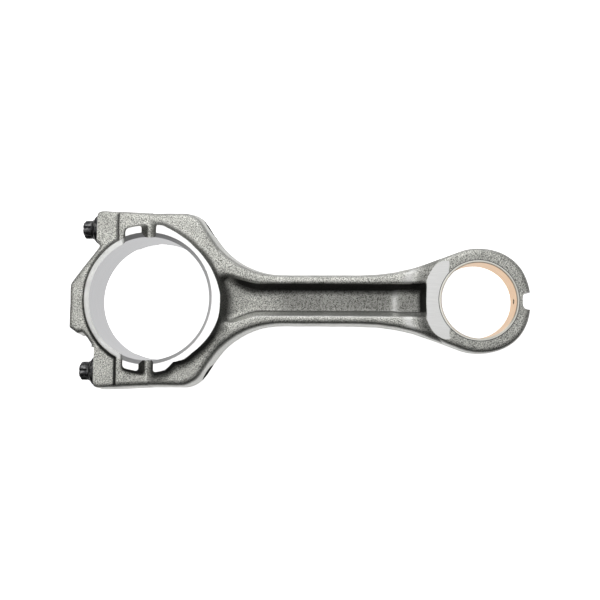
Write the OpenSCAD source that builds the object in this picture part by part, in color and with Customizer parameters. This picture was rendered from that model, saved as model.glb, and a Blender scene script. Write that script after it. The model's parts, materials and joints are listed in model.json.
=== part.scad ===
// Heavy-duty diesel connecting rod with a fracture-split cap and a bimetal small-end bush.
// The origin is the centre of the big-end bore. +X runs to the small end, +Z along the bore.

/* [Big end] */
// Radius of the big-end bore
big_r = 48; // [47.5:0.1:48.5]
// Half the width across the machined thrust faces
thrust_half = 25.5; // [25:0.1:26]
// Half the thickness of the rod half's bolt columns and of the cap's lip
column_half = 18; // [17.5:0.1:18.5]
// Half the thickness of the cap outside the lip
cap_half = 16.4; // [16:0.1:17]
// Half the height across the bolt columns
column_top = 69.8; // [69.5:0.1:70]
// Half the height across the cap at its bolt seats
cap_top = 71.6; // [71:0.1:72]
// Outer radius of the thrust face
thrust_r = 57.2; // [56.5:0.1:58]
// Outer radius of the cap's lip
lip_r = 52.8; // [52:0.1:53.5]
// Axial depth of the large bore chamfer
chamfer_depth = 4.5; // [4:0.1:5]
// Radial width of the large bore chamfer
chamfer_width = 3; // [2.5:0.1:3.5]
// X of the wall that ends the thrust pad on the cap
cap_pad_x = -4.9; // [-6:0.1:-4]
// X of the wall that starts the thrust pad on the rod
rod_pad_x = 6.6; // [5:0.1:8]

/* [Cap] */
// X of the bolt seats on the cap
seat_x = -43.4; // [-44:0.1:-43]
// X of the flat on the crown
crown_x = -66.2; // [-66.5:0.1:-66]

/* [Shank] */
// Half the height of the I-section
shank_top = 20.3; // [19:0.1:21]
// Half the thickness of the I-section's flanges
flange_half = 13; // [12:0.5:14]
// Half the thickness of the web under the pockets
web_half = 4; // [3.5:0.5:5]
// Radius of the blend from the shoulder into the shank
shoulder_r = 63; // [61:1:65]
// Angle of the shoulder below the X axis
shoulder_angle = 57; // [56:1:58]

/* [Small end] */
// Distance between the two bore centres
centres = 255; // [254:0.5:256]
// Outer radius of the eye
eye_r = 40.8; // [40:0.1:41]
// Bore of the eye, which the bush is pressed into
eye_bore_r = 31.3; // [31:0.1:31.5]
// Half the thickness at the machined flats
eye_half = 17.5; // [17:0.1:18]
// Distance from the bush centre to the line where the taper starts
taper_start = 23; // [21:0.1:24]
// Fall of each tapered face for each millimetre towards the tip
taper_slope = 0.12; // [0.1:0.01:0.14]
// Radius of the machined flats about the bush centre
flat_r = 42.8; // [42:0.1:43.5]

/* [Bush] */
// Radius where the steel backing meets the bronze lining
lining_r = 29.9; // [29.5:0.1:30.2]
// Running radius of the bush
bush_r = 28.95; // [28.5:0.05:29.2]
// Radius of the oil hole
oil_r = 2; // [1.5:0.1:2.5]

/* [Cap bolts] */
// Distance from the bore centre to each bolt's axis
bolt_y = 57.2; // [57:0.1:57.6]
// Outside radius of the thread
thread_r = 6; // [5.8:0.05:6]
// X of the tip of the bolt
bolt_tip_x = 40; // [38:0.5:41]
// Radius of the bolt's flange
bolt_flange_r = 11.6; // [11:0.1:12]
// Radius across the lobes of the head
head_r = 7.35; // [7:0.05:7.6]

/* [Hidden] */

forged = [0.60, 0.60, 0.57];
steel = [0.86, 0.85, 0.80];
bronze = [0.80, 0.58, 0.40];
black_oxide = [0.10, 0.10, 0.11];

$fn = 96;
over = 1;                    // how far a cut runs past a face
arc_step = 7;                // degrees between the points of an outline's arcs
column_corner_r = 22;        // corner between the column's top and the shoulder
cap_corner_r = 3.6;          // corner between the cap's top and the bolt seat
crown_corner_r = 8;          // corner of the crown above its flat
crown_foot_r = 3;            // corner of the crown below its flat
seat_end = 38.2;             // how near the middle the bolt seats reach
flare_r = 153;               // blend from the shank into the eye
flare_x = 165;               // where that blend starts
shoulder_cx = 103;           // X of the centre of the shoulder blend
// Each level of the forging: its share of the full half thickness, and how far it is drawn in
levels = [[0.35, 0], [0.7, 0.7], [0.9, 1.7], [1, 3.2]];
thrust_foot = 3;             // how much wider the thrust boss is at the parting plane
pad_left_x = -17.4;          // where the cap's thrust pads end on their outer side
pad_r = 56.3;                // outer radius of the cap's thrust pads
crease_x = -25.6;            // where the cap's bolt blocks step down
pocket_x0 = 57;              // start of the pocket, inside the wall of the thrust boss
pocket_neck_x = 88;          // where the pocket has narrowed to its even width
pocket_x1 = 214.3;           // end wall of the pocket
pocket_top_y = 12.5;         // half width of the pocket at the flange's face
pocket_floor_y = 8.5;        // half width of the pocket at the web
pocket_mouth_y = 18;         // half width where the pocket opens at the big end
pocket_corner_r = 4;
flank_run = 11;              // length of the slope from the flats down to the shank
flank_half = 13.8;           // half thickness at the foot of that slope
eye_bulge = 1.3;             // how much fuller the eye is midway between its sides and tip
notch_x = 288.4;             // bottom of the oil notch at the tip
notch_y = 6.6;               // half width of the oil notch
notch_r = 4.2;               // corner of the oil notch
tapped_r = thread_r + 0.05;  // tapped hole, drawn at the thread's outside radius plus clearance
bolt_hole_r = thread_r + 0.5;
bolt_waist_r = thread_r - 0.7;
flange_t = 4.2;              // thickness of the bolt flange's rim
collar_x = seat_x - 7.2;     // top of the flange's cone
head_x = seat_x - 8.2;       // bottom of the lobed head
head_end_x = seat_x - 15.1;  // end of the lobed head
tip_x = centres + eye_r;

// Points along an arc, the last one included
function arc(cx, cy, r, a0, a1) =
    let (n = max(2, ceil(abs(a1 - a0) / arc_step)))
    [for (i = [0:n]) let (a = a0 + (a1 - a0) * i / n) [cx + r * cos(a), cy + r * sin(a)]];

function flipped(points) = [for (i = [len(points) - 1:-1:0]) [points[i][0], -points[i][1]]];

// The direction from the eye's centre in which the straight flank touches it
flank_a = let (dx = flare_x - centres, dy = shank_top + flare_r)
    atan2(dy, dx) - acos((eye_r + flare_r) / norm([dx, dy]));

// Outer radius of the eye by direction: a little fuller between its sides and the tip
function eye_radius(a) = eye_r + eye_bulge * pow(sin(2 * min(a, 90)), 2);

// Upper edge of the rod half, from the split to the tip, drawn in by d
function rod_edge(d) =
    let (n = 90 - shoulder_angle,
         reach = shoulder_cx * cos(n) + (shank_top + shoulder_r) * sin(n) - shoulder_r,
         cy = column_top - column_corner_r,
         cx = (reach - column_corner_r - cy * sin(n)) / cos(n))
    concat([[0, column_top - d]],
           arc(cx, cy, column_corner_r - d, 90, n),
           arc(shoulder_cx, shank_top + shoulder_r, shoulder_r + d, 180 + n, 270),
           arc(flare_x, shank_top + flare_r, flare_r + d, 270, 180 + flank_a),
           [for (a = [flank_a:-arc_step:0]) let (r = eye_radius(a) - d)
               [centres + r * cos(a), r * sin(a)]],
           [[centres + eye_radius(0) - d, 0]]);

module rod_outline(d) {
    edge = rod_edge(d);
    polygon(concat(edge, flipped(edge)));
}

// Outline of the cap, drawn in by d. The bolt seats are machined, so they stay in one plane.
module cap_outline(d) {
    corner = cap_corner_r - d;
    foot = max(0.5, crown_foot_r - d);
    edge_y = cap_top - cap_corner_r;
    polygon(concat(
        [[0, column_top - d], [-36, cap_top - d]],
        arc(seat_x + corner, edge_y, corner, 90, 180),
        [[seat_x, seat_end - d], [seat_x - 2.4 + 0.6 * d, seat_end - d]],
        arc(crown_x + crown_corner_r, 9.8, crown_corner_r - d, 143, 180),
        arc(crown_x + crown_foot_r, -22, foot, 180, 240),
        [[-58.2, -29.2 + d], [-54.4 + d, -28.6 + d], [-51 + d, -32.2 + d], [-47.9 + d, -36.6 + d],
         [seat_x, d - seat_end - 1.4]],
        arc(seat_x + corner, -edge_y, corner, 180, 270),
        [[-36, d - cap_top], [0, d - column_top]]));
}

// Even levels on both sides of the parting plane give the forging its draft
module drafted(half, child) {
    for (level = levels)
        translate([0, 0, -half * level[0]])
            linear_extrude(2 * half * level[0])
                if (child == "rod") rod_outline(level[1]); else cap_outline(level[1]);
}

// Side view of the rod half: thick columns, thin flanges, flats and tapered faces on the eye
module rod_side() {
    fall = taper_slope * (eye_r + taper_start);
    top = [[-over, column_half], [38, column_half], [62, column_half - 1.5], [92, flange_half],
           [165, flange_half], [188, flank_half + 0.1], [192, eye_half],
           [centres - taper_start, eye_half], [tip_x + over, eye_half - fall - taper_slope]];
    rotate([90, 0, 0])
        linear_extrude(2 * (cap_top + over), center = true)
            polygon(concat(top, flipped(top)));
}

// What is taken off outside the machined flats, so that they end on a radius about the bush
module eye_flank() {
    slope = (eye_half - flank_half) / flank_run;
    for (side = [0, 1])
        mirror([0, 0, side])
            translate([centres, 0, 0])
                rotate_extrude()
                    polygon([[flat_r - 2, eye_half + 2 * slope], [flat_r + flank_run, flank_half],
                             [flat_r + 40, flank_half], [flat_r + 40, column_half + over],
                             [flat_r - 2, column_half + over]]);
}

// Revolved boss that carries the thrust faces, wider at the parting plane
module thrust_boss(r) {
    rotate_extrude()
        polygon([[big_r - over, -thrust_half], [r, -thrust_half], [r + thrust_foot, 0],
                 [r, thrust_half], [big_r - over, thrust_half]]);
}

module half_space(x0, x1) {
    translate([x0, -cap_top - over, -thrust_half - over])
        cube([x1 - x0, 2 * (cap_top + over), 2 * (thrust_half + over)]);
}

// Bore of the big end with its chamfer at both thrust faces
module big_bore() {
    cylinder(h = 2 * (thrust_half + over), r = big_r, center = true);
    for (side = [0, 1])
        mirror([0, 0, side])
            translate([0, 0, thrust_half - chamfer_depth])
                cylinder(h = 2 * chamfer_depth, r1 = big_r, r2 = big_r + 2 * chamfer_width);
}

module x_hole(x0, x1, y, r) {
    translate([x0, y, 0])
        rotate([0, 90, 0])
            cylinder(h = x1 - x0, r = r);
}

// A pocket's plan at one height: mouth half width y0 at x0, even half width y1 from there on
module pocket_slab(x0, y0, x1, y1, z) {
    for (sy = [-1, 1]) {
        translate([x0, sy * (y0 - pocket_corner_r), z])
            cylinder(h = 0.1, r = pocket_corner_r, $fn = 32);
        translate([x1 - pocket_corner_r, sy * (y1 - pocket_corner_r), z])
            cylinder(h = 0.1, r = pocket_corner_r, $fn = 32);
    }
}

// Sloping walls from the web up to the flange's face, flaring towards the big end
module pocket() {
    slope = pocket_top_y - pocket_floor_y;
    hull() {
        pocket_slab(pocket_x0, pocket_mouth_y - slope, pocket_neck_x, pocket_floor_y, web_half);
        pocket_slab(pocket_x0, pocket_mouth_y, pocket_neck_x, pocket_top_y, column_half);
    }
    hull() {
        pocket_slab(pocket_neck_x - 12, pocket_floor_y, pocket_x1 - slope, pocket_floor_y, web_half);
        pocket_slab(pocket_neck_x - 12, pocket_top_y, pocket_x1, pocket_top_y, column_half);
    }
}

module oil_notch() {
    x = notch_x + notch_r;
    y = notch_y - notch_r;
    linear_extrude(2 * eye_half, center = true)
        polygon(concat([[tip_x + over, -notch_y], [tip_x + over, notch_y]],
                       arc(x, y, notch_r, 90, 180),
                       arc(x, -y, notch_r, 180, 270)));
}

// Both tapered faces of the eye, which also trim the bush
module eye_wedge(r, bore) {
    fall = taper_slope * (eye_r + taper_start);
    top = [[-eye_r, eye_half], [-taper_start, eye_half], [eye_r, eye_half - fall]];
    translate([centres, 0, 0])
        intersection() {
            difference() {
                cylinder(h = 2 * eye_half, r = r, center = true);
                cylinder(h = 2 * eye_half + over, r = bore, center = true);
            }
            rotate([90, 0, 0])
                linear_extrude(2 * eye_r, center = true)
                    polygon(concat(top, flipped(top)));
        }
}

module connecting_rod() {
    color(forged)
        difference() {
            union() {
                difference() {
                    intersection() {
                        drafted(column_half, "rod");
                        rod_side();
                    }
                    eye_flank();
                }
                intersection() {
                    thrust_boss(thrust_r);
                    half_space(rod_pad_x, thrust_r + thrust_foot + over);
                }
            }
            big_bore();
            for (sy = [-1, 1])
                x_hole(-over, 60, sy * bolt_y, tapped_r);
            for (side = [0, 1])
                mirror([0, 0, side])
                    difference() {
                        pocket();
                        cylinder(h = 2 * thrust_half, r1 = thrust_r + thrust_foot,
                                 r2 = thrust_r - thrust_foot);
                    }
            translate([centres, 0, 0])
                cylinder(h = 3 * eye_half, r = eye_bore_r, center = true);
            oil_notch();
            x_hole(centres, notch_x + over, 0, oil_r);
        }
}

// What the crown and the bolt blocks of the cap are lower than its lip
module crown_steps() {
    for (side = [0, 1])
        mirror([0, 0, side])
            difference() {
                translate([crown_x - over, -cap_top - over, cap_half])
                    cube([crease_x - crown_x + over, 2 * (cap_top + over), column_half]);
                cylinder(h = thrust_half, r = lip_r);
            }
}

module bearing_cap() {
    color(forged)
        difference() {
            union() {
                drafted(column_half, "cap");
                intersection() {
                    thrust_boss(pad_r);
                    half_space(pad_left_x, cap_pad_x);
                }
            }
            crown_steps();
            big_bore();
            for (sy = [-1, 1])
                x_hole(seat_x - 30, over, sy * bolt_y, bolt_hole_r);
        }
}

module bush_steel_backing() {
    color(steel)
        difference() {
            eye_wedge(eye_bore_r, lining_r);
            x_hole(centres, notch_x, 0, oil_r);
        }
}

module bush_bronze_lining() {
    color(bronze)
        difference() {
            eye_wedge(lining_r, bush_r);
            x_hole(centres, notch_x, 0, oil_r);
        }
}

// One bolt along X at height y: thread, waisted shank, flange, cone and six-lobe head
module cap_bolt(y) {
    lobes = 6;
    flute_r = 2.2;
    flute_h = head_x - head_end_x - 0.4;
    translate([0, y, 0])
        rotate([0, 90, 0])
            difference() {
                rotate_extrude()
                    polygon([[0, head_end_x + 1.2], [3.4, head_end_x + 1.2], [3.8, head_end_x],
                             [head_r - 0.9, head_end_x], [head_r, head_end_x + 0.9],
                             [head_r, head_x], [8, head_x], [7.9, collar_x],
                             [bolt_flange_r - 1.2, seat_x - 5.7],
                             [bolt_flange_r, seat_x - flange_t], [bolt_flange_r, seat_x],
                             [thread_r, seat_x], [bolt_waist_r, seat_x + 3], [bolt_waist_r, 3],
                             [thread_r, 4], [thread_r, bolt_tip_x - 1], [thread_r - 1, bolt_tip_x],
                             [0, bolt_tip_x]]);
                for (i = [0:lobes - 1])
                    rotate([0, 0, (i + 0.5) * 360 / lobes])
                        translate([head_r + 0.8, 0, head_end_x - over])
                            cylinder(h = flute_h + over, r = flute_r);
            }
}

module cap_bolt_upper() {
    color(black_oxide) cap_bolt(bolt_y);
}

module cap_bolt_lower() {
    color(black_oxide) cap_bolt(-bolt_y);
}

connecting_rod();
bearing_cap();
bush_steel_backing();
bush_bronze_lining();
cap_bolt_upper();
cap_bolt_lower();
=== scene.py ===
"""A forged diesel connecting rod: shot-blasted skin, machined faces, bimetal bush, black bolts.

Shapes are worked out in millimetres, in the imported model's frame, and become metres in a mesh.
The two forgings are modelled as forged, with stock, and are then machined by boolean cuts."""
import json
import math

import bmesh
import bpy
import numpy as np
from mathutils import Euler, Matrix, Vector


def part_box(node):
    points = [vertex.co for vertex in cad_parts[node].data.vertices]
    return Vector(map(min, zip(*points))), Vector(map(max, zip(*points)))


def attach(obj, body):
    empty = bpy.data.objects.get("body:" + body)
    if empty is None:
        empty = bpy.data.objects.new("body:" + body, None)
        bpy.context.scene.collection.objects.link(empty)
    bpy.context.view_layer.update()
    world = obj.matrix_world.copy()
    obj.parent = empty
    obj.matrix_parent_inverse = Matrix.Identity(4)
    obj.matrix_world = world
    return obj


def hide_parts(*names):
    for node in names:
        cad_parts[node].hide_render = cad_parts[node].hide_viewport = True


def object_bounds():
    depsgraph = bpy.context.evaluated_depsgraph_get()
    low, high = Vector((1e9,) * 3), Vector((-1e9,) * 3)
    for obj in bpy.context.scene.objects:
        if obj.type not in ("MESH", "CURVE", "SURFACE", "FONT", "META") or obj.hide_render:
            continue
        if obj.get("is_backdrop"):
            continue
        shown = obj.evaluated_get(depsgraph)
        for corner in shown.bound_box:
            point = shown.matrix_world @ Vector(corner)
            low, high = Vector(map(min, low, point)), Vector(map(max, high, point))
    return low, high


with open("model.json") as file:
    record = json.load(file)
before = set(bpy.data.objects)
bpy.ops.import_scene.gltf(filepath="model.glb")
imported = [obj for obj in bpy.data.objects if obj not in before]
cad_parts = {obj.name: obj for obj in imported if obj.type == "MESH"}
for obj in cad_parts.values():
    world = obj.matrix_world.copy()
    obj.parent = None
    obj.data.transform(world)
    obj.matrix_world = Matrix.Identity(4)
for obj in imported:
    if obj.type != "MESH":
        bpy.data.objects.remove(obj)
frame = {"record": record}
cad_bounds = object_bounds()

MM = 0.001
mounts = {m["name"]: m for m in frame["record"]["mounts"]}


def span(node):
    """Lowest and highest corner of a CAD node, in millimetres."""
    low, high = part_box(node)
    return np.array(low) / MM, np.array(high) / MM


rod_high = span("connecting_rod")[1]
cap_low, cap_high = span("bearing_cap")
bolt_low, bolt_high = span("cap_bolt_upper")
bush_high = span("bush_steel_backing")[1]
lining_high = span("bush_bronze_lining")[1]

# Big end
BIG_R = mounts["big_end_bore"]["dims"]["r_mm"]
THRUST_HALF = mounts["thrust_face_front"]["pos_m"][2] / MM
COLUMN_TOP = rod_high[1] - 0.2
CAP_TOP = cap_high[1]    # the cap widens towards its bolt seats
COLUMN_HALF = 18.0       # half thickness of the rod's columns and of the cap's lip
CAP_HALF = 16.4          # half thickness of the cap outside its lip
LIP_R = 52.8
CHAMFER_WIDTH, CHAMFER_DEPTH = 3.0, 4.5
STOCK = 1.6              # left on by the forging, taken off by the cuts
PAD_CAP_X, PAD_ROD_X = -4.9, 6.6     # walls of the valley between the thrust pads
PAD_END_X = -17.4        # where the cap's thrust pads end
PAD_R = 56.3             # outer radius of the cap's thrust pads
# Outer edge of the rod's thrust face: angle in degrees, radius
THRUST_EDGE = ((-90, 57.6), (-74, 57.2), (-66, 53.6), (-57, 55.6), (-48, 55.4), (-30, 57.2),
               (-14, 57.9), (4, 57.2), (20, 55.4), (34, 54.3), (46, 53.8), (60, 54.7),
               (70, 55.9), (78, 57.4), (90, 57.4))
# Cap
HEAD_HEIGHT = 15.1       # the bolt's head, its collar and its flange together
SEAT_X = bolt_low[0] + HEAD_HEIGHT
SEAT_END = 38.2          # how near the middle the bolt seats reach
CROWN_X = cap_low[0]
CREASE_X = -25.6         # where the bolt blocks step down
# Shank
SHANK_TOP = 20.3
FLANGE_HALF = 13.0
WEB_HALF = 4.0
POCKET_SLOPE = 0.44      # how far the pocket's walls lean back for each millimetre up
RISER_X, RISER_HALF = 191.5, 2.4     # the low step in the web near the small end
SHOULDER_R, SHOULDER_ANGLE, SHOULDER_X = 63.0, 57.0, 103.0
FLARE_R, FLARE_X = 153.0, 165.0
# Small end
CENTRES = mounts["small_end_bore"]["pos_m"][0] / MM
PIN_R = mounts["small_end_bore"]["dims"]["r_mm"]
EYE_R = 40.8
EYE_BULGE = 1.3          # how much fuller the eye is midway between its sides and tip
EYE_BORE_R = bush_high[1]
LINING_R = lining_high[1]
EYE_HALF = bush_high[2]
TAPER_X = CENTRES - 23.0             # the tapered faces start here
TAPER_SLOPE = 0.12
FLAT_R = 42.8            # the machined flats end on this radius about the bush
FLANK_RUN = 11.0         # length of the slope from the flats down to the shank
OIL_R = 2.0
NOTCH_X, NOTCH_Y, NOTCH_R = 288.4, 6.6, 4.2
BUSH_RECESS = 0.05       # how far the bush stands below the eye's faces
# Bolts
BOLT_Y = (bolt_low[1] + bolt_high[1]) / 2
THREAD_R = 6.0
PITCH = 1.5
BOLT_TIP_X = bolt_high[0]
BOLT_FLANGE_R = (bolt_high[1] - bolt_low[1]) / 2
HEAD_R = 7.35

STEP = 0.7               # spacing of the grid that the forgings are meshed on
DRAFT = 0.12             # slope of forged side walls
SEGMENTS = 192


# ---------------------------------------------------------------- fields on a grid

def round_max(a, b, r):
    """Where both shapes are, with the edge between them rounded to radius r."""
    outer = np.hypot(np.maximum(a + r, 0), np.maximum(b + r, 0))
    return np.minimum(-r, np.maximum(a, b)) + outer


def round_min(a, b, r):
    """Both shapes joined, with a fillet of radius r in the corner between them."""
    return -round_max(-a, -b, r)


def smoothstep(x, x0, x1):
    """Rises from 0 at x0 to 1 at x1 without a kink; x1 may lie below x0."""
    t = np.clip((x - x0) / (x1 - x0), 0, 1)
    return t * t * (3 - 2 * t)


def arc(cx, cy, r, a0, a1, step=5):
    """Points along an arc, its ends included. Angles are in degrees."""
    angles = np.radians(np.linspace(a0, a1, max(3, int(abs(a1 - a0) / step) + 1)))
    return [(cx + r * math.cos(a), cy + r * math.sin(a)) for a in angles]


def polygon_distance(points, x, y):
    """Signed distance to a closed outline, negative inside."""
    px, py = np.meshgrid(x, y, indexing="ij")
    nearest = np.full(px.shape, 1e9)
    inside = np.zeros(px.shape, bool)
    for (ax, ay), (bx, by) in zip(points, points[1:] + points[:1]):
        ex, ey = bx - ax, by - ay
        length = ex * ex + ey * ey
        if length < 1e-12:
            continue
        t = np.clip(((px - ax) * ex + (py - ay) * ey) / length, 0, 1)
        nearest = np.minimum(nearest, (px - ax - t * ex) ** 2 + (py - ay - t * ey) ** 2)
        if ay != by:
            crossing = ax + (py - ay) * ex / ey
            inside ^= ((ay > py) != (by > py)) & (px < crossing)
    return (np.where(inside, -1, 1) * np.sqrt(nearest)).astype(np.float32)


def grid(low, high):
    """Points along X, Y and upwards in Z from the parting plane, with room around the shape."""
    room = 4 * STEP
    x = np.arange(low[0] - room, high[0] + room, STEP, dtype=np.float32)
    y = np.arange(low[1] - room, high[1] + room, STEP, dtype=np.float32)
    z = np.arange(STEP / 2, high[2] + STOCK + room, STEP, dtype=np.float32)
    return x, y, z


def waviness(x, y, z):
    """The gentle unevenness of a forged skin, about a tenth of a millimetre."""
    first = np.sin(x / 6.1 + 1.7 * np.sin(y / 9.3)) * np.sin(y / 5.3 + z / 7.9 + x / 11.0)
    second = np.sin(x / 2.9 - z / 3.7) * np.sin(y / 3.1 + 1.3 * np.sin(x / 7.0))
    return 0.09 * first + 0.05 * second


def trimmed_side(outline, x, y, z, draft=DRAFT):
    """Drafted side walls with the low ridge that trimming the flash leaves on the parting plane."""
    flash_height, flash_half = 0.3, 1.5
    side = polygon_distance(outline, x, y)[:, :, None] + draft * z
    return side - flash_height * np.exp(-(z / flash_half) ** 4)


def surface_net(half_field, x, y, z):
    """Closed quad mesh of the zero level of a field that is the same on both sides of z = 0."""
    field = np.concatenate([half_field[:, :, ::-1], half_field], axis=2)
    origin = np.array([x[0], y[0], -z[-1]])
    inside = field < 0
    corners = [(i, j, k) for i in (0, 1) for j in (0, 1) for k in (0, 1)]
    shape = np.array(field.shape) - 1
    count = np.zeros(shape, np.int8)
    for i, j, k in corners:
        count += inside[i:shape[0] + i, j:shape[1] + j, k:shape[2] + k]
    cells = np.argwhere((count > 0) & (count < 8))
    index = np.full(shape, -1, np.int64)
    index[tuple(cells.T)] = np.arange(len(cells))
    values = {c: field[tuple((cells + c).T)] for c in corners}
    total = np.zeros((len(cells), 3))
    crossings = np.zeros(len(cells))
    for start in corners:
        for axis in range(3):
            if start[axis]:
                continue
            end = tuple(v + (d == axis) for d, v in enumerate(start))
            a, b = values[start], values[end]
            crossed = (a < 0) != (b < 0)
            point = np.repeat(np.array([start], float), len(cells), axis=0)
            point[:, axis] = np.where(crossed, a / np.where(crossed, a - b, 1), 0)
            total += point * crossed[:, None]
            crossings += crossed
    vertices = (cells + total / crossings[:, None]) * STEP + origin
    quads = []
    for axis in range(3):
        u, v = [(1, 2), (2, 0), (0, 1)][axis]
        low = [slice(1, n) for n in shape]
        low[axis] = slice(0, shape[axis])
        high = list(low)
        high[axis] = slice(1, shape[axis] + 1)
        first, second = inside[tuple(low)], inside[tuple(high)]
        edges = np.argwhere(first != second)
        outward = first[tuple(edges.T)]
        for d in (u, v):
            edges[:, d] += 1
        ring = []
        for du, dv in ((0, 0), (1, 0), (1, 1), (0, 1)):
            cell = edges.copy()
            cell[:, u] -= du
            cell[:, v] -= dv
            ring.append(index[tuple(cell.T)])
        ring = np.stack(ring, axis=1)
        ring[~outward] = ring[~outward][:, ::-1]
        quads.append(ring)
    return vertices, np.concatenate(quads)


# ---------------------------------------------------------------- mesh helpers

def mesh_object(name, vertices, faces):
    """Object made of millimetre points."""
    mesh = bpy.data.meshes.new(name)
    mesh.from_pydata((np.asarray(vertices) * MM).tolist(), [], [list(map(int, f)) for f in faces])
    mesh.update()
    piece = bpy.data.objects.new(name, mesh)
    bpy.context.scene.collection.objects.link(piece)
    return piece


def lofted(name, rings, close=True):
    """Tube through equal rings of points; with close, both ends are capped."""
    count = len(rings[0])
    faces = []
    for r in range(len(rings) - 1):
        for i in range(count):
            j = (i + 1) % count
            faces.append((r * count + i, r * count + j, (r + 1) * count + j, (r + 1) * count + i))
    if close:
        faces.append(tuple(range(count))[::-1])
        faces.append(tuple(range((len(rings) - 1) * count, len(rings) * count)))
    return mesh_object(name, [p for ring in rings for p in ring], faces)


def lathe(name, profile, centre=(0, 0, 0), axis="z", segments=SEGMENTS):
    """Solid of revolution about an axis through centre; profile is (radius, place along it)."""
    rings = []
    for radius, along in profile:
        ring = []
        for i in range(segments):
            a = 2 * math.pi * (i + 0.5) / segments
            c, s = radius * math.cos(a), radius * math.sin(a)
            ring.append((c, s, along) if axis == "z" else (along, c, s))
        rings.append(np.array(ring) + centre)
    return lofted(name, rings)


def block(name, low, high):
    """A plain cutter between two corners."""
    (x0, y0, z0), (x1, y1, z1) = low, high
    rings = [[(x0, y0, z), (x1, y0, z), (x1, y1, z), (x0, y1, z)] for z in (z0, z1)]
    return lofted(name, rings)


def prism(name, outline, z0, z1):
    """An outline, given anticlockwise, between two heights."""
    return lofted(name, [[(x, y, z) for x, y in outline] for z in (z0, z1)])


def cut(piece, *cutters):
    """Takes each cutter out of piece for good."""
    for cutter in cutters:
        modifier = piece.modifiers.new("cut", "BOOLEAN")
        modifier.operation = "DIFFERENCE"
        modifier.solver = "MANIFOLD"
        modifier.object = cutter
        graph = bpy.context.evaluated_depsgraph_get()
        mesh = bpy.data.meshes.new_from_object(piece.evaluated_get(graph))
        piece.modifiers.clear()
        old = piece.data
        piece.data = mesh
        bpy.data.meshes.remove(old)
        bpy.data.objects.remove(cutter)
    piece.data.name = piece.name


def finish_faces(piece, materials, classify, sharp_angle=32):
    """Gives each face its material and keeps an edge crisp where two finishes or planes meet."""
    piece.data.materials.clear()
    for material in materials:
        piece.data.materials.append(material)
    mesh = bmesh.new()
    mesh.from_mesh(piece.data)
    for face in mesh.faces:
        face.smooth = True
        centre = face.calc_center_median() / MM
        face.material_index = classify(centre, face.normal)
    limit = math.radians(sharp_angle)
    for edge in mesh.edges:
        if len(edge.link_faces) == 2:
            one, two = edge.link_faces
            edge.smooth = one.material_index == two.material_index and edge.calc_face_angle(0) < limit
    mesh.to_mesh(piece.data)
    mesh.free()


# ---------------------------------------------------------------- the rod's forging

def flipped(points):
    """The same edge on the lower side, run the other way."""
    return [(x, -y) for x, y in reversed(points)]


def eye_edge(flank):
    """The eye from its flank to the tip, a little fuller between its side and the tip."""
    points = []
    for angle in np.arange(flank, -0.1, -flank / 30):
        r = EYE_R + EYE_BULGE * math.sin(math.radians(2 * min(angle, 90))) ** 2
        points.append((CENTRES + r * math.cos(math.radians(angle)), r * math.sin(math.radians(angle))))
    return points


def rod_outline():
    """Outline on the parting plane, carried past the split so that the cut there is crisp."""
    corner_r = 22.0
    normal = 90 - SHOULDER_ANGLE
    c, s = math.cos(math.radians(normal)), math.sin(math.radians(normal))
    corner_y = COLUMN_TOP - corner_r
    reach = SHOULDER_X * c + (SHANK_TOP + SHOULDER_R) * s - SHOULDER_R
    corner_x = (reach - corner_r - corner_y * s) / c
    dx, dy = FLARE_X - CENTRES, SHANK_TOP + FLARE_R
    flank = math.degrees(math.atan2(dy, dx) - math.acos((EYE_R + FLARE_R) / math.hypot(dx, dy)))
    edge = [(-6, COLUMN_TOP)]
    edge += arc(corner_x, corner_y, corner_r, 90, normal)
    edge += arc(SHOULDER_X, SHANK_TOP + SHOULDER_R, SHOULDER_R, 180 + normal, 270)
    edge += arc(FLARE_X, SHANK_TOP + FLARE_R, FLARE_R, 270, 180 + flank)
    edge += eye_edge(flank)
    return edge + flipped(edge)


def thrust_edge(x, y):
    """Outer radius of the rod's thrust face in the direction of a place."""
    angles, radii = np.array(THRUST_EDGE).T
    return np.interp(np.degrees(np.arctan2(y, x)), angles, radii)


def thrust_boss(x, y, z, radius, x_low, x_high):
    """Raised ring for the thrust faces between two walls; it has stock on its face."""
    wall_round = 2.0
    rise = THRUST_HALF - z
    reach = np.hypot(x, y)
    side = reach - radius - (DRAFT + 0.2 * (y / np.maximum(reach, 1)) ** 2) * rise
    ends = np.maximum(x_low - x - 0.4 * rise, x - x_high - 0.4 * rise)
    plan = round_max(side, ends, wall_round)
    return np.maximum(plan, z - THRUST_HALF - STOCK)


def pocket_half(x, z):
    """Half the width of the long pocket; it opens towards the big end."""
    mouth_y, top_y = 18.0, 12.5
    return top_y + (mouth_y - top_y) * smoothstep(x, 88, 57) - POCKET_SLOPE * (FLANGE_HALF - z)


def pocket_floor(x):
    """Height of the web: it climbs to the big end, and there is a raised step at the far end."""
    return WEB_HALF + 5.0 * smoothstep(x, 82, 60) + 1.4 * smoothstep(x, 189, 195)


def shank_pocket(x, y, z):
    """The long pocket, with crisp feet along its walls and a soft one at its end."""
    end_x, end_slope, corner = 214.5, 0.3, 4.0
    walls = (np.abs(y) - pocket_half(x, z)) / math.hypot(1, POCKET_SLOPE)
    end = x - end_x + end_slope * (EYE_HALF - z)
    foot_r = 1.6 + 3.0 * smoothstep(x, 199, 205) + 3.0 * smoothstep(x, 90, 75)
    return round_max(round_max(walls, end, corner), pocket_floor(x) - z, foot_r)


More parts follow.
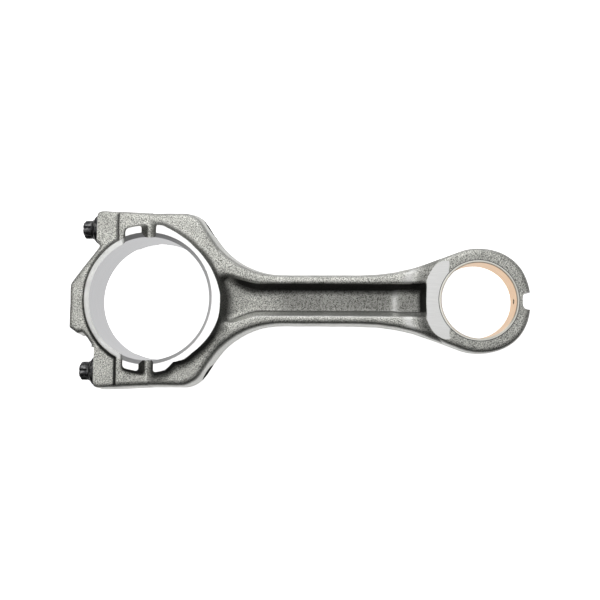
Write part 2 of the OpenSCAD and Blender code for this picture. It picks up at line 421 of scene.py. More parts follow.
def rod_field(x, y, z):
    """Negative inside the rod's forging, with stock where it is machined later."""
    eye_draft = 0.04
    draft = DRAFT + (eye_draft - DRAFT) * smoothstep(x, 190, 235)[:, None, None]
    side = trimmed_side(rod_outline(), x, y, z, draft)
    x, y, z = x[:, None, None], y[None, :, None], z[None, None, :]
    shank_height = (COLUMN_HALF - (COLUMN_HALF - FLANGE_HALF) * smoothstep(x, 38, 98)
                    + 0.5 * smoothstep(x, 11, 16) + 0.8 * smoothstep(x, 160, 200))
    eye_top = z - EYE_HALF + TAPER_SLOPE * (x - TAPER_X)
    rise = np.clip((FLAT_R + FLANK_RUN - np.hypot(x - CENTRES, y)) / FLANK_RUN, 0, 2)
    flank = shank_height + (EYE_HALF - shank_height) * rise ** 1.4
    top = round_max(z - flank, eye_top, 0.8)
    edge_r = 5.0 - 1.0 * smoothstep(x, 60, 100) + 0.6 * smoothstep(x, 210, 232)
    body = round_max(side, top, edge_r)
    body = round_max(body, -shank_pocket(x, y, z), 1.6)
    boss = thrust_boss(x, y, z, thrust_edge(x, y), PAD_ROD_X, 90)
    foot_r = 5.5 + 3.0 * smoothstep(x, 50, 58)
    return round_min(body, boss, foot_r) + waviness(x, y, z)


def cap_outline():
    """Outline of the cap on the parting plane, carried past the split and the bolt seats."""
    corner_r, crown_r, foot_r = 9.0, 8.0, 3.0
    end_x = SEAT_X - 5.2
    shoulder = [(6, COLUMN_TOP), (-4, COLUMN_TOP + 0.3), (-36, CAP_TOP)]
    edge = shoulder + arc(end_x + corner_r, CAP_TOP - corner_r, corner_r, 90, 180)
    edge += [(end_x, SEAT_END + 5), (SEAT_X - 0.3, SEAT_END + 3.8)]
    edge += arc(CROWN_X + crown_r, 9.8, crown_r, 143, 180)
    edge += arc(CROWN_X + foot_r, -22, foot_r, 180, 240)
    edge += [(-58.2, -29.2), (-54.4, -28.6), (-51, -32.2), (-47.9, -36.6), (end_x, -SEAT_END - 3)]
    edge += arc(end_x + corner_r, corner_r - CAP_TOP, corner_r, 180, 270)
    return edge + flipped(shoulder)


def cap_field(x, y, z):
    """Negative inside the cap's forging."""
    side = trimmed_side(cap_outline(), x, y, z)
    x, y, z = x[:, None, None], y[None, :, None], z[None, None, :]
    crown = round_max(side, z - CAP_HALF, 3.4)
    wall = np.minimum(CREASE_X - x, np.hypot(x, y) - LIP_R) + 0.35 * (z - CAP_HALF)
    step = round_max(wall, z - COLUMN_HALF, 0.6)
    lip = np.maximum(round_max(side, z - COLUMN_HALF, 4.5), step)
    body = round_min(crown, lip, 0.5)
    boss = thrust_boss(x, y, z, PAD_R, PAD_END_X, PAD_CAP_X)
    return round_min(body, boss, 1.8) + waviness(x, y, z)


def forging(name, low, high, field):
    """Mesh of a forging's field over a box."""
    x, y, z = grid(low, high)
    vertices, quads = surface_net(field(x, y, z), x, y, z)
    return mesh_object(name, vertices, quads)


# ---------------------------------------------------------------- machining cuts

def fracture_offset(y, z):
    """How far the cracked surface stands out of its plane at a place: the same on both halves."""
    coarse = np.sin(y / 3.7 + 2.0 * np.sin(z / 5.1)) * np.sin(z / 2.9 + y / 6.7)
    fine = np.sin(y / 1.3 + 3.0 * np.sin(z / 1.7)) * np.sin(z / 0.9 + 2.0 * np.sin(y / 2.1))
    return 0.22 * coarse + 0.10 * fine


def fracture_cutter(name, x_far):
    """A block whose face at the split is the cracked surface."""
    step = 0.9
    ys = np.arange(-COLUMN_TOP - 4, COLUMN_TOP + 4 + step, step)
    zs = np.arange(-THRUST_HALF - 4, THRUST_HALF + 4 + step, step)
    rows, columns = len(ys), len(zs)
    yy, zz = np.meshgrid(ys, zs, indexing="ij")
    near = np.stack([fracture_offset(yy, zz), yy, zz], axis=-1).reshape(-1, 3)
    far = near.copy()
    far[:, 0] = x_far
    corner = lambda i, j: i * columns + j
    faces = []
    for i in range(rows - 1):
        for j in range(columns - 1):
            quad = (corner(i, j), corner(i + 1, j), corner(i + 1, j + 1), corner(i, j + 1))
            faces.append(quad)
            faces.append(tuple(rows * columns + q for q in reversed(quad)))
    rim = [corner(i, 0) for i in range(rows)]
    rim += [corner(rows - 1, j) for j in range(1, columns)]
    rim += [corner(i, columns - 1) for i in range(rows - 2, -1, -1)]
    rim += [corner(0, j) for j in range(columns - 2, 0, -1)]
    for a, b in zip(rim, rim[1:] + rim[:1]):
        faces.append((b, a, rows * columns + a, rows * columns + b))
    if x_far > 0:
        faces = [face[::-1] for face in faces]
    return mesh_object(name, np.concatenate([near, far]), faces)


def big_end_cutters():
    """Thrust planes, bore and bore chamfers, taken out of rod and cap alike."""
    far = THRUST_HALF + 5
    reach = (80, 80, far)
    front = block("front_face", (-80, -80, THRUST_HALF), reach)
    back = block("back_face", (-80, -80, -far), (80, 80, -THRUST_HALF))
    flare = CHAMFER_WIDTH / CHAMFER_DEPTH
    chamfer_z = THRUST_HALF - CHAMFER_DEPTH
    outer = BIG_R + flare * (far - chamfer_z)
    bore = lathe("bore", [(outer, -far), (BIG_R, -chamfer_z), (BIG_R, chamfer_z), (outer, far)])
    return front, back, bore


def bolt_holes(radius, x0, x1):
    """Cutters along X for both bolts."""
    return [lathe("bolt_hole", [(radius, x0), (radius, x1)], (0, sy * BOLT_Y, 0), "x", 64)
            for sy in (-1, 1)]


def notch_cutter():
    """The open notch at the tip that feeds the oil hole."""
    past_tip, far = 305, 30
    outline = [(past_tip, NOTCH_Y)]
    outline += arc(NOTCH_X + NOTCH_R, NOTCH_Y - NOTCH_R, NOTCH_R, 90, 180, 15)
    outline += arc(NOTCH_X + NOTCH_R, NOTCH_R - NOTCH_Y, NOTCH_R, 180, 270, 15)
    outline += [(past_tip, -NOTCH_Y)]
    return prism("notch", outline, -far, far)


def machine_rod(rod):
    """Cuts the thrust faces, split, flats, bores, bolt holes and oil passage."""
    flats = [block("flat", (205, -60, EYE_HALF), (310, 60, 40)),
             block("flat", (205, -60, -40), (310, 60, -EYE_HALF))]
    eye = lathe("eye_bore", [(EYE_BORE_R, -30), (EYE_BORE_R, 30)], (CENTRES, 0, 0))
    oil = lathe("oil_hole", [(OIL_R, CENTRES), (OIL_R, NOTCH_X + 1)], axis="x", segments=32)
    cut(rod, *big_end_cutters(), fracture_cutter("split", -20), *flats, eye,
        *bolt_holes(THREAD_R + 0.05, -5, 62), notch_cutter(), oil)


def machine_cap(cap):
    """Cuts the thrust faces, bore, split, bolt seats and clearance holes."""
    seat = [block("seat", (-90, min(sy * SEAT_END, sy * 80), -30),
                  (SEAT_X, max(sy * SEAT_END, sy * 80), 30)) for sy in (-1, 1)]
    cut(cap, *big_end_cutters(), fracture_cutter("split", 20), *seat,
        *bolt_holes(THREAD_R + 0.5, -70, 5))


FORGED, GROUND, BORED, CHAMFERED, CRACKED, DRILLED = range(6)


def forging_finish(centre, normal):
    """Which finish a face of a forging has, from where it is and which way it looks."""
    x, y, z = centre
    radius = math.hypot(x, y)
    inward = -(x * normal.x + y * normal.y) / max(radius, 1)
    if abs(normal.z) > 0.999 and min(abs(abs(z) - THRUST_HALF), abs(abs(z) - EYE_HALF)) < 0.01:
        return GROUND if x > 150 or abs(z) > 20 else FORGED
    if radius < BIG_R + 0.02 and inward > 0.99:
        return BORED
    if inward > 0.6 and radius < BIG_R + CHAMFER_WIDTH + 0.02 and abs(z) > THRUST_HALF - CHAMFER_DEPTH:
        return CHAMFERED
    if abs(math.hypot(x - CENTRES, y) - EYE_BORE_R) < 0.06 and abs(normal.z) < 0.01:
        return BORED
    if abs(math.hypot(abs(y) - BOLT_Y, z) - THREAD_R) < 0.6 and abs(normal.x) < 0.05 and x < 62:
        return DRILLED
    if abs(math.hypot(y, z) - OIL_R) < 0.1 and x > CENTRES and abs(normal.x) < 0.05:
        return DRILLED
    if abs(x - SEAT_X) < 0.01 and normal.x < -0.99:
        return CHAMFERED
    if abs(x) < 0.5 and abs(normal.x) > 0.5:
        return CRACKED
    return FORGED


def step_in_web(x):
    """1 on the low step in the web and 0 away from it."""
    return np.exp(-((x - RISER_X) / RISER_HALF) ** 2)


def pocket_painted_shade(x, y, z, steep):
    """Painted shade and shadow in the long pocket: upper wall, lower foot, web and end wall."""
    foot = pocket_half(x, pocket_floor(x))
    lid = FLANGE_HALF + 4.4 * smoothstep(x, 203, 207)
    inside = (smoothstep(z, lid + 0.4, lid - 0.9) * smoothstep(x, 60, 70) * (x < 219)
              * (np.abs(y) < pocket_half(x, np.minimum(z, FLANGE_HALF + 0.4)) + 1.5
                 - 1.3 * smoothstep(x, 199, 203)))
    # painted shadow on the upper wall and the floor below it, painted shade in the lower foot, on the web
    # and on the end wall
    upper_wall = np.maximum(0.96 * smoothstep(y, foot - 3.6, foot - 0.3),
                            0.85 * smoothstep(y, foot - 8.5, foot - 1.0))
    lower_foot = 0.8 * np.exp(-((y + foot) / 0.8) ** 2)
    web = 0.45 * smoothstep(x, 80, 112) * (1 - 0.9 * step_in_web(x))
    end_wall = 0.95 * steep * smoothstep(x, 204, 208.5) * smoothstep(y, -foot - 2.0, -foot + 0.6)
    return inside * np.maximum.reduce([upper_wall, lower_foot, web, end_wall])


def boss_painted_shade(x, y, z, facing_y, steep):
    """Painted shade on the walls of the thrust bosses, and painted shadow under their lower half and in the
    valley there.
    """
    radius, lower = np.hypot(x, y), np.clip(-y / 30, 0, 1)
    neck = smoothstep(x, 50, 56) * smoothstep(np.abs(y), 23, 16)
    # painted shade on the steep walls, darker where they face -Y, away from the light
    wall = (steep * smoothstep(radius, 66, 62) * np.maximum(neck, smoothstep(z, 17.5, 19.5))
            * (0.75 - 0.2 * facing_y))
    # painted shadow that the thrust ring casts towards -Y, on the lower side only
    past_ring = radius - np.where(x > 0, thrust_edge(x, y), PAD_R)
    under_ring = (0.93 * lower * smoothstep(z, 15.5, 16.5) * smoothstep(past_ring, -0.5, 0.0)
                  * smoothstep(past_ring, 3.4 + 2.0 * smoothstep(x, 18, 30), 1.7)
                  * np.maximum(smoothstep(x, PAD_ROD_X - 1, PAD_ROD_X),
                               smoothstep(x, PAD_CAP_X, PAD_CAP_X - 1) * smoothstep(x, -18.5, -17.5)))
    valley = 0.9 * lower * smoothstep(np.abs(x), 14, 12) * steep * smoothstep(z, 17.8, 18.6)
    return np.maximum.reduce([wall, under_ring, valley])


def crease_painted_shade(x, y, z):
    """Painted shade and shadow in the crease where the cap steps down from its lip and its bolt blocks."""
    # painted shadow of the step, a little darker towards -Y
    past = np.minimum(CREASE_X - x, np.hypot(x, y) - LIP_R)
    width = 0.9 + 1.1 * np.clip(np.abs(y) / 45, 0, 1)
    return (smoothstep(past, width + 0.7, width - 0.2) * smoothstep(past, -0.8, -0.1)
            * smoothstep(z, 14.8, 15.8) * smoothstep(np.abs(y), CAP_TOP - 2.5, CAP_TOP - 5)
            * (0.85 - 0.12 * np.clip(y / 30, -1, 1)))


def flank_painted_shade(x, y, z):
    """Painted shade on the slope from the machined flats down to the shank."""
    # painted shade, a little darker towards -Y
    reach = np.hypot(x - CENTRES, y) - FLAT_R
    return (smoothstep(reach, 10, 3) * smoothstep(reach, 0, 0.3) * smoothstep(z, 8, 12)
            * (x < TAPER_X) * (0.55 - 0.15 * np.clip(y / 30, -1, 1)))


def painted_shade_marks(x, y, z, facing_y, steep):
    """How much painted shade and shadow darkens the skin, from 0 to 1, for arrays of places with z made
    positive.
    """
    # painted shade on the roundings that face -Y, away from the light
    lower_edge_shade = 2.2 * steep * (1 - steep) * smoothstep(-facing_y, 0.2, 0.45) * smoothstep(-y, 12, 14)
    return np.maximum.reduce([pocket_painted_shade(x, y, z, steep), boss_painted_shade(x, y, z, facing_y, steep),
                              crease_painted_shade(x, y, z), flank_painted_shade(x, y, z), lower_edge_shade])


def painted_highlight_marks(x, y, z):
    """How much painted highlight lightens the skin, from 0 to 1: on the cap's lip and where the faces rise.
    """
    # painted highlights on the lip's edge, the step in the web, the rise towards the flats and the pocket's
    # lower wall, which faces the light
    lip = (smoothstep(np.hypot(x, y), LIP_R - 0.3, LIP_R - 1.1) * smoothstep(z, 16.6, 17.4)
           * smoothstep(x, -16, -20))
    riser = 0.8 * step_in_web(x) * (np.abs(y) < 9) * (z < 7)
    reach = np.hypot(x - CENTRES, y) - FLAT_R
    foot = 0.8 * np.exp(-((reach - 13) / 4) ** 2) * smoothstep(z, 12, 13.2) * (x < TAPER_X)
    web_edge = pocket_half(x, pocket_floor(x))
    wall = (0.45 * smoothstep(-y, web_edge + 0.6, web_edge + 1.2) * (-y < pocket_half(x, z) + 1)
            * smoothstep(x, 66, 80) * smoothstep(x, 212, 206) * (z < FLANGE_HALF + 1))
    return np.maximum.reduce([lip, riser, foot, wall])


def mark_skin(piece):
    """Marks painted shade and shadow, where the steep sides are trimmed smooth, and painted highlights."""
    mesh = piece.data
    place, normal = np.empty(3 * len(mesh.vertices)), np.empty(3 * len(mesh.vertices))
    mesh.vertices.foreach_get("co", place)
    mesh.vertices.foreach_get("normal", normal)
    x, y, z = place.reshape(-1, 3).T / MM
    normal = normal.reshape(-1, 3)
    steep = smoothstep(np.abs(normal[:, 2]), 0.93, 0.6)
    # painted shade and shadow, kept in the attribute named scale
    scale = painted_shade_marks(x, y, np.abs(z), normal[:, 1], steep)
    # painted highlights
    wear_and_painted_highlight = painted_highlight_marks(x, y, np.abs(z))
    trimmed = 0.7 * steep * (1 - scale) * (1 - np.minimum(1, 2 * wear_and_painted_highlight))
    for name, value in (("scale", scale), ("trimmed", trimmed), ("wear_and_painted_highlight", wear_and_painted_highlight)):
        mesh.attributes.new(name, "FLOAT", "POINT").data.foreach_set("value", value)


# ---------------------------------------------------------------- bush

def face_height(x):
    """Half thickness of the small end at a place along X."""
    return EYE_HALF - TAPER_SLOPE * max(0.0, x - TAPER_X)


def bush_ring(name, inner, outer, chamfer_in, chamfer_out, recess):
    """A ring whose ends follow the tapered faces, with a chamfer at both rims."""
    profile = [(inner, chamfer_in), (inner + chamfer_in, 0), (outer - chamfer_out, 0),
               (outer, chamfer_out)]
    loop = [(r, d, 1) for r, d in profile] + [(r, d, -1) for r, d in reversed(profile)]
    vertices, faces = [], []
    for i in range(SEGMENTS):
        a = 2 * math.pi * (i + 0.5) / SEGMENTS
        for r, d, side in loop:
            x = CENTRES + r * math.cos(a)
            vertices.append((x, r * math.sin(a), side * (face_height(x) - recess - d)))
    n = len(loop)
    for i in range(SEGMENTS):
        j = (i + 1) % SEGMENTS
        for k in range(n):
            m = (k + 1) % n
            faces.append((i * n + k, j * n + k, j * n + m, i * n + m))
    ring = mesh_object(name, vertices, faces)
    cut(ring, lathe("oil_hole", [(OIL_R, CENTRES), (OIL_R, NOTCH_X)], axis="x", segments=32))
    return ring


# ---------------------------------------------------------------- bolts

def lobed(radius, angle):
    """Radius of the six-lobe head at an angle: round flutes between rounded lobes."""
    flute_r, reach = 2.2, HEAD_R + 0.8
    step = math.pi / 3
    off = (angle - step / 2 + math.pi / 6) % step - math.pi / 6
    side = reach * math.sin(abs(off))
    if side >= flute_r:
        return radius
    return min(radius, reach * math.cos(off) - math.sqrt(flute_r ** 2 - side ** 2))


def thread_radius(x, angle):
    """Radius of a right-hand thread with a flat crest and root."""
    phase = (x / PITCH - angle / (2 * math.pi)) % 1
    depth = 0.92
    return THREAD_R - depth * min(1, max(0, 1.35 - 4 * abs(phase - 0.5)))


def cap_bolt(name, y):
    """Thread, waisted shank, flange, cone, collar and six-lobe head as one closed surface."""
    segments = 72
    head_end = bolt_low[0]
    head_x, collar_x = SEAT_X - 8.2, SEAT_X - 7.2
    waist = THREAD_R - 0.7
    stations = [("lobe", head_end, HEAD_R - 2.6, 0), ("lobe", head_end, HEAD_R - 0.7, 0),
                ("lobe", head_end + 0.7, HEAD_R, 0), ("lobe", head_x - 0.4, HEAD_R, 0),
                ("round", head_x - 0.4, 7.6, 0), ("round", head_x, 8.0, 0),
                ("round", head_x + 0.5, 8.0, 0), ("round", head_x + 0.7, 7.5, 0),
                ("round", collar_x - 0.2, 7.5, 0), ("round", collar_x, 7.9, 0),
                ("round", SEAT_X - 5.7, BOLT_FLANGE_R - 1.2, 0),
                ("round", SEAT_X - 4.9, BOLT_FLANGE_R - 0.3, 0),
                ("round", SEAT_X - 4.2, BOLT_FLANGE_R, 0), ("round", SEAT_X - 0.4, BOLT_FLANGE_R, 0),
                ("round", SEAT_X, BOLT_FLANGE_R - 0.4, 0), ("round", SEAT_X, THREAD_R + 0.3, 0),
                ("round", SEAT_X + 1.2, THREAD_R, 0), ("round", SEAT_X + 3, waist, 0),
                ("round", 2.6, waist, 0)]
    start, end, step = 4.0, BOLT_TIP_X - 1.2, PITCH / 8
    for i in range(int((end - start) / step) + 1):
        stations.append(("thread", start + i * step, THREAD_R, smoothstep(start + i * step, start, 7)))
    stations += [("round", BOLT_TIP_X - 0.8, THREAD_R - 0.95, 0), ("round", BOLT_TIP_X, 4.4, 0)]
    rings = []
    for kind, x, radius, depth in stations:
        ring = []
        for i in range(segments):
            a = 2 * math.pi * i / segments
            r = radius
            if kind == "lobe":
                r = min(lobed(HEAD_R, a), radius)
            if kind == "thread":
                r = waist + (thread_radius(x, a) - waist) * depth
            ring.append((x, y + r * math.cos(a), r * math.sin(a)))
        rings.append(ring)
    bolt = lofted(name, rings)
    dish = lathe("dish", [(3.2, head_end - 1), (3.2, head_end + 0.1), (2.4, head_end + 1.2)],
                 (0, y, 0), "x", 48)
    cut(bolt, dish)
    return bolt


# ---------------------------------------------------------------- materials

class Finish:
    """A Principled material and short ways to add procedural nodes to it."""

    def __init__(self, name, color, metallic, roughness):
        self.material = bpy.data.materials.new(name)
        self.material.use_nodes = True
        self.tree = self.material.node_tree
        self.shader = self.tree.nodes["Principled BSDF"]
        self.shader.inputs["Base Color"].default_value = (*color, 1)
        self.shader.inputs["Metallic"].default_value = metallic
        self.shader.inputs["Roughness"].default_value = roughness
        self.place = self.node("ShaderNodeTexCoord").outputs["Object"]

    def node(self, kind, inputs=None, **settings):
        node = self.tree.nodes.new(kind)
        for key, value in settings.items():
            setattr(node, key, value)
        for key, value in (inputs or {}).items():
            if isinstance(value, bpy.types.NodeSocket):
                self.tree.links.new(value, node.inputs[key])
            else:
                node.inputs[key].default_value = value
        return node

    def stretched(self, scale):
        """The object's coordinates, scaled apart along X, Y and Z."""
        return self.node("ShaderNodeMapping", {"Vector": self.place, "Scale": scale}).outputs[0]

    def around(self, centre_x, turns, along):
        """Coordinates that run round a bore: angle, radius and height, each with its own scale."""
        parts = self.node("ShaderNodeSeparateXYZ", {"Vector": self.place})
        dx = self.node("ShaderNodeMath", {0: parts.outputs[0], 1: centre_x * MM},
                       operation="SUBTRACT").outputs[0]
        angle = self.node("ShaderNodeMath", {0: parts.outputs[1], 1: dx}, operation="ARCTAN2").outputs[0]
        flat = self.node("ShaderNodeCombineXYZ", {0: dx, 1: parts.outputs[1]}).outputs[0]
        radius = self.node("ShaderNodeVectorMath", {0: flat}, operation="LENGTH").outputs["Value"]
        scaled = []
        for value, scale in ((angle, turns), (radius, along), (parts.outputs[2], along)):
            scaled.append(self.node("ShaderNodeMath", {0: value, 1: scale},
                                    operation="MULTIPLY").outputs[0])
        return self.node("ShaderNodeCombineXYZ", dict(enumerate(scaled))).outputs[0]

    def noise(self, scale, detail=2.0, vector=None, roughness=0.5):
        return self.node("ShaderNodeTexNoise", {"Vector": vector or self.place, "Scale": scale,
                                                "Detail": detail, "Roughness": roughness}).outputs["Fac"]

    def attribute(self, name):
        return self.node("ShaderNodeAttribute", attribute_name=name).outputs["Fac"]

    def openness(self, reach):
        """How open the surface is, within a reach in millimetres: low in corners and pockets."""
        return self.node("ShaderNodeAmbientOcclusion", {"Distance": reach * MM}, only_local=True,
                         samples=8).outputs["AO"]

    def ramp(self, value, stops):
        """Colour or grey by value; stops are (place, grey or colour)."""
        node = self.node("ShaderNodeValToRGB", {"Fac": value})
        elements = node.color_ramp.elements
        while len(elements) < len(stops):
            elements.new(0.5)
        for element, (place, shade) in zip(elements, stops):
            element.position = place
            element.color = (*shade, 1) if isinstance(shade, tuple) else (shade, shade, shade, 1)
        return node.outputs["Color"]

    def mix(self, factor, a, b, blend="MIX"):
        node = self.node("ShaderNodeMix", data_type="RGBA", blend_type=blend)
        for key, value in (("Factor", factor), ("A", a), ("B", b)):
            socket = next(s for s in node.inputs if s.name == key and s.enabled)
            if isinstance(value, bpy.types.NodeSocket):
                self.tree.links.new(value, socket)
            elif key == "Factor":
                socket.default_value = value
            else:
                socket.default_value = (*value, 1)
        return next(s for s in node.outputs if s.enabled)

    def bump(self, *layers):
        """Bump layers, each (height, strength, distance in millimetres), one upon another."""
        normal = None
        for height, strength, distance in layers:
            inputs = {"Height": height, "Strength": strength, "Distance": distance * MM}
            if normal:
                inputs["Normal"] = normal
            normal = self.node("ShaderNodeBump", inputs).outputs[0]
        self.tree.links.new(normal, self.shader.inputs["Normal"])

    def color(self, socket):
        self.tree.links.new(socket, self.shader.inputs["Base Color"])

    def roughness(self, socket, low, high):
        span = self.node("ShaderNodeMapRange", {"Value": socket, "To Min": low, "To Max": high})
        self.tree.links.new(span.outputs[0], self.shader.inputs["Roughness"])


def forged_skin():
    """Shot-blasted steel: dark pits in a warm light grey, smooth trimmed sides, painted highlights, and
    painted shade and shadow in recesses and on sides away from the light.
    """
    skin = Finish("forged_skin", (0.5, 0.5, 0.46), 0.72, 0.5)
    grain = skin.noise(1350, 2.5, roughness=0.6)
    dents = skin.noise(520, 1.5)
    clouds = skin.noise(60, 3)
    speckle = skin.ramp(grain, [(0.38, (0.15, 0.15, 0.14)), (0.48, (0.64, 0.64, 0.60)),
                                (0.58, (1.0, 1.0, 0.95))])
    # painted highlight: the speckle is screened towards white
    speckle = skin.mix(skin.attribute("wear_and_painted_highlight"), speckle, (1.0, 1.0, 0.97), "SCREEN")
    speckle = skin.mix(skin.attribute("trimmed"), speckle, (0.74, 0.74, 0.72))
    patch = skin.ramp(clouds, [(0.35, (0.84, 0.84, 0.83)), (0.65, (1.0, 1.0, 0.99))])
    blasted = skin.mix(1.0, speckle, patch, "MULTIPLY")
    # painted shade: ambient occlusion darkens the colour in corners, creases and pockets
    reach = skin.ramp(skin.openness(16), [(0.3, 0.02), (0.5, 0.32), (0.7, 0.80), (0.85, 1.0)])
    shaded = skin.mix(1.0, blasted, reach, "MULTIPLY")
    # painted shade and shadow: the colour goes to near black by the scale attribute
    skin.color(skin.mix(skin.attribute("scale"), shaded, (0.012, 0.012, 0.011)))
    gloss = skin.mix(skin.attribute("trimmed"), skin.ramp(grain, [(0.0, 0.0), (1.0, 0.5)]), (1, 1, 1))
    skin.roughness(gloss, 0.62, 0.3)
    skin.bump((dents, 0.35, 0.35), (grain, 0.6, 0.25))
    return skin.material


def ground_face():
    """Bright ground steel with fine straight scratches."""
    face = Finish("ground_face", (0.86, 0.86, 0.85), 1.0, 0.3)
    lines = face.noise(1.0, 3, face.stretched((90, 5200, 500)))
    face.color(face.ramp(lines, [(0.3, (0.74, 0.74, 0.73)), (0.7, (0.86, 0.86, 0.85))]))
    face.roughness(lines, 0.28, 0.42)
    face.bump((lines, 0.12, 0.03))
    return face.material


def turned_face(name, centre_x, color, low, high):
    """Steel with fine marks that run round a centre."""
    face = Finish(name, color, 1.0, low)
    marks = face.noise(1.0, 3, face.around(centre_x, 2.0, 5200))
    dark = tuple(0.86 * c for c in color)
    face.color(face.ramp(marks, [(0.3, dark), (0.7, color)]))
    face.roughness(marks, low, high)
    face.bump((marks, 0.10, 0.03))
    return face.material


def cracked_face():
    """The bright crystalline surface where the cap was split off."""
    face = Finish("cracked_face", (0.5, 0.5, 0.5), 1.0, 0.5)
    grains = face.noise(1900, 4, roughness=0.7)
    face.color(face.ramp(grains, [(0.35, (0.22, 0.22, 0.22)), (0.65, (0.66, 0.66, 0.65))]))
    face.roughness(grains, 0.35, 0.7)
    face.bump((grains, 0.9, 0.4))
    return face.material


def drilled_hole():
    """Oily drilled and tapped steel, ribbed along X by the thread."""
    hole = Finish("drilled_hole", (0.10, 0.10, 0.10), 1.0, 0.45)
    ribs_per_metre, wave_turn = 1000 / PITCH, 6.28
    ribs = hole.node("ShaderNodeTexWave", {"Vector": hole.place, "Scale": ribs_per_metre / wave_turn,
                                           "Distortion": 0.0}, bands_direction="X").outputs["Fac"]
    film = hole.noise(300, 3)
    hole.color(hole.ramp(film, [(0.3, 0.05), (0.7, 0.14)]))
    hole.bump((ribs, 0.6, 0.5))
    return hole.material


def bush_steel():
    """Pale turned steel, faintly warm."""
    steel = Finish("bush_steel", (0.93, 0.92, 0.86), 1.0, 0.4)
    marks = steel.noise(1.0, 3, steel.around(CENTRES, 2.0, 4200))
    steel.color(steel.ramp(marks, [(0.3, (0.88, 0.87, 0.80)), (0.7, (0.97, 0.96, 0.90))]))
    steel.roughness(marks, 0.36, 0.48)
    steel.bump((marks, 0.12, 0.03))
    return steel.material


def bush_bronze():
    """Bored bearing bronze: fine rings and slightly duller patches."""
    bronze = Finish("bush_bronze", (0.86, 0.62, 0.38), 1.0, 0.35)
    marks = bronze.noise(1.0, 3, bronze.around(CENTRES, 1.5, 3800))
    tint = bronze.noise(90, 3)
    rings = bronze.ramp(marks, [(0.3, (0.82, 0.55, 0.33)), (0.7, (0.95, 0.69, 0.45))])
    patch = bronze.ramp(tint, [(0.3, (0.93, 0.90, 0.88)), (0.7, (1.0, 1.0, 1.0))])
    bronze.color(bronze.mix(1.0, rings, patch, "MULTIPLY"))
    bronze.roughness(marks, 0.3, 0.45)
    bronze.bump((marks, 0.15, 0.03))
    return bronze.material


def bronze_rim():
    """Bright cut rim of the lining, where the bronze shows only as a tint."""
    return turned_face("bronze_rim", CENTRES, (0.90, 0.86, 0.76), 0.25, 0.4)


def black_phosphate():
    """Oiled crystalline black coating, worn to a dark metallic sheen in patches."""
    coat = Finish("black_phosphate", (0.06, 0.06, 0.063), 0.9, 0.35)
    grain = coat.noise(1500, 3, roughness=0.6)
    wear = coat.noise(330, 4)
    dull = coat.ramp(grain, [(0.35, (0.02, 0.02, 0.022)), (0.65, (0.12, 0.12, 0.125))])
    wear_and_painted_highlight = coat.ramp(wear, [(0.48, 0.0), (0.66, 0.8)])
    coat.color(coat.mix(wear_and_painted_highlight, dull, (0.36, 0.36, 0.36)))
    coat.roughness(grain, 0.26, 0.48)
    coat.bump((wear, 0.3, 0.25), (grain, 0.35, 0.12))
    return coat.material


# ---------------------------------------------------------------- scene

def place_pieces():
    """Makes the six pieces, and puts each on its body in place of its CAD node."""
    finishes = [forged_skin(), ground_face(), turned_face("honed_bore", 0, (0.60, 0.60, 0.61), 0.3, 0.42),
                turned_face("turned_chamfer", 0, (0.68, 0.68, 0.68), 0.3, 0.42), cracked_face(),
                drilled_hole()]
    rod = forging("forged_rod", (-4, -COLUMN_TOP, 0), (rod_high[0] + 2, COLUMN_TOP, THRUST_HALF), rod_field)
    machine_rod(rod)
    finish_faces(rod, finishes, forging_finish)
    mark_skin(rod)
    cap = forging("forged_cap", (CROWN_X, -CAP_TOP, 0), (4, CAP_TOP, THRUST_HALF), cap_field)
    machine_cap(cap)
    finish_faces(cap, finishes, forging_finish)
    mark_skin(cap)

    backing = bush_ring("bush_backing", LINING_R, EYE_BORE_R, 0.0, 0.5, BUSH_RECESS)
    finish_faces(backing, [bush_steel(), finishes[DRILLED]],
                 lambda centre, normal: int(0.3 < abs(normal.z) < 0.9))
    lining = bush_ring("bush_lining", PIN_R, LINING_R, 0.5, 0.0, BUSH_RECESS)
    rim_z = 0.5              # faces that look further along Z than this are the rim
    finish_faces(lining, [bush_bronze(), bronze_rim()],
                 lambda centre, normal: int(abs(normal.z) > rim_z))
    phosphate = black_phosphate()
    upper = cap_bolt("bolt_upper", BOLT_Y)
    lower = cap_bolt("bolt_lower", -BOLT_Y)
    for bolt in (upper, lower):
        finish_faces(bolt, [phosphate], lambda centre, normal: 0)

    for piece, node, body, slot in (
            (rod, "connecting_rod", "rod", "forged_steel"),
            (cap, "bearing_cap", "cap", "forged_steel"),
            (backing, "bush_steel_backing", "rod", "bush_steel"),
            (lining, "bush_bronze_lining", "rod", "bush_bronze"),
            (upper, "cap_bolt_upper", "upper_bolt", "bolt_steel"),
            (lower, "cap_bolt_lower", "lower_bolt", "bolt_steel")):
        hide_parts(node)
        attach(piece, body)


def add_sweep():
    """A plain white floor and surround that only the camera sees; the object is lit by the studio."""
    radius, floor_z = 4.0, -THRUST_HALF * MM - 0.001
    profile = [(0.001, 0), (radius, 0), (radius, 2 * radius), (0.001, 2 * radius)]
    sweep = lathe("sweep", [(r / MM, (z + floor_z) / MM) for r, z in profile], segments=48)
    paper = Finish("paper", (0.8, 0.8, 0.8), 0.0, 0.9)
    paper.shader.inputs["Emission Color"].default_value = (1, 1, 1, 1)
    paper.shader.inputs["Emission Strength"].default_value = 1.0
    sweep.data.materials.append(paper.material)
    sweep.visible_diffuse = sweep.visible_glossy = sweep.visible_shadow = False
    sweep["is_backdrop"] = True


def add_softbox(name, place, target, size, radiance):
    """A rectangular light of an even brightness, whatever its size."""
    light = bpy.data.lights.new(name, "AREA")
    light.shape = "RECTANGLE"
    light.size, light.size_y = size
    light.energy = radiance * math.pi * size[0] * size[1]
    lamp = bpy.data.objects.new(name, light)
    lamp.location = place
    lamp.rotation_euler = (Vector(target) - Vector(place)).to_track_quat("-Z", "Y").to_euler()
    bpy.context.scene.collection.objects.link(lamp)


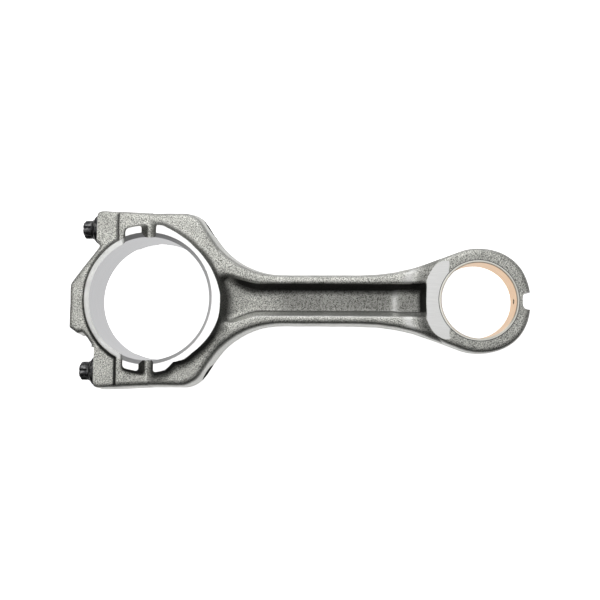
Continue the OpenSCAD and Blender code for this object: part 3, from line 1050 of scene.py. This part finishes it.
def add_studio():
    """A large panel overhead, one from the upper side, and a pale table below a dark horizon."""
    middle = (0.11, 0, 0)
    add_softbox("overhead", (0.3, 0.15, 1.25), (0.3, 0.15, 0), (1.9, 0.95), 0.88)
    add_softbox("left", (-0.5, 0.05, 1.2), middle, (0.42, 0.8), 2.0)
    add_softbox("window", (0.1, 1.1, 0.95), middle, (1.8, 0.9), 1.9)
    add_softbox("horizon", (0.1, 1.4, 0.25), middle, (1.8, 0.6), 0.9)
    world = bpy.data.worlds.new("studio")
    world.use_nodes = True
    nodes, links = world.node_tree.nodes, world.node_tree.links
    place = nodes.new("ShaderNodeTexCoord")
    parts = nodes.new("ShaderNodeSeparateXYZ")
    ramp = nodes.new("ShaderNodeValToRGB")
    depth = nodes.new("ShaderNodeMapRange")
    depth.inputs["From Min"].default_value = -1
    links.new(place.outputs["Generated"], parts.inputs[0])
    links.new(parts.outputs["Z"], depth.inputs["Value"])
    links.new(depth.outputs[0], ramp.inputs[0])
    links.new(ramp.outputs[0], nodes["Background"].inputs["Color"])
    stops = ((0.0, 1.0), (0.2, 0.95), (0.36, 0.1), (0.45, 0.03), (1.0, 0.03))
    elements = ramp.color_ramp.elements
    while len(elements) < len(stops):
        elements.new(0.5)
    for element, (position, grey) in zip(elements, stops):
        element.position = position
        element.color = (grey, grey, grey, 1)
    bpy.context.scene.world = world
    bpy.context.scene.view_settings.view_transform = "Standard"


def add_camera():
    """Above the shank, leaning a little towards the big end and the lower bolt."""
    lens = bpy.data.cameras.new("camera")
    lens.lens, lens.sensor_width = 42.0, 36.0
    lens.clip_start = 0.01
    camera = bpy.data.objects.new("camera", lens)
    camera.location = (0.15255, -0.03661, 0.55419)
    camera.rotation_euler = Euler([math.radians(a) for a in (3.863, 3.636, 0.485)])
    bpy.context.scene.collection.objects.link(camera)
    bpy.context.scene.camera = camera


add_camera()
add_studio()
add_sweep()
place_pieces()
sizes = {"cad": [list(corner) for corner in cad_bounds],
         "visual": [list(corner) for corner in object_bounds()]}
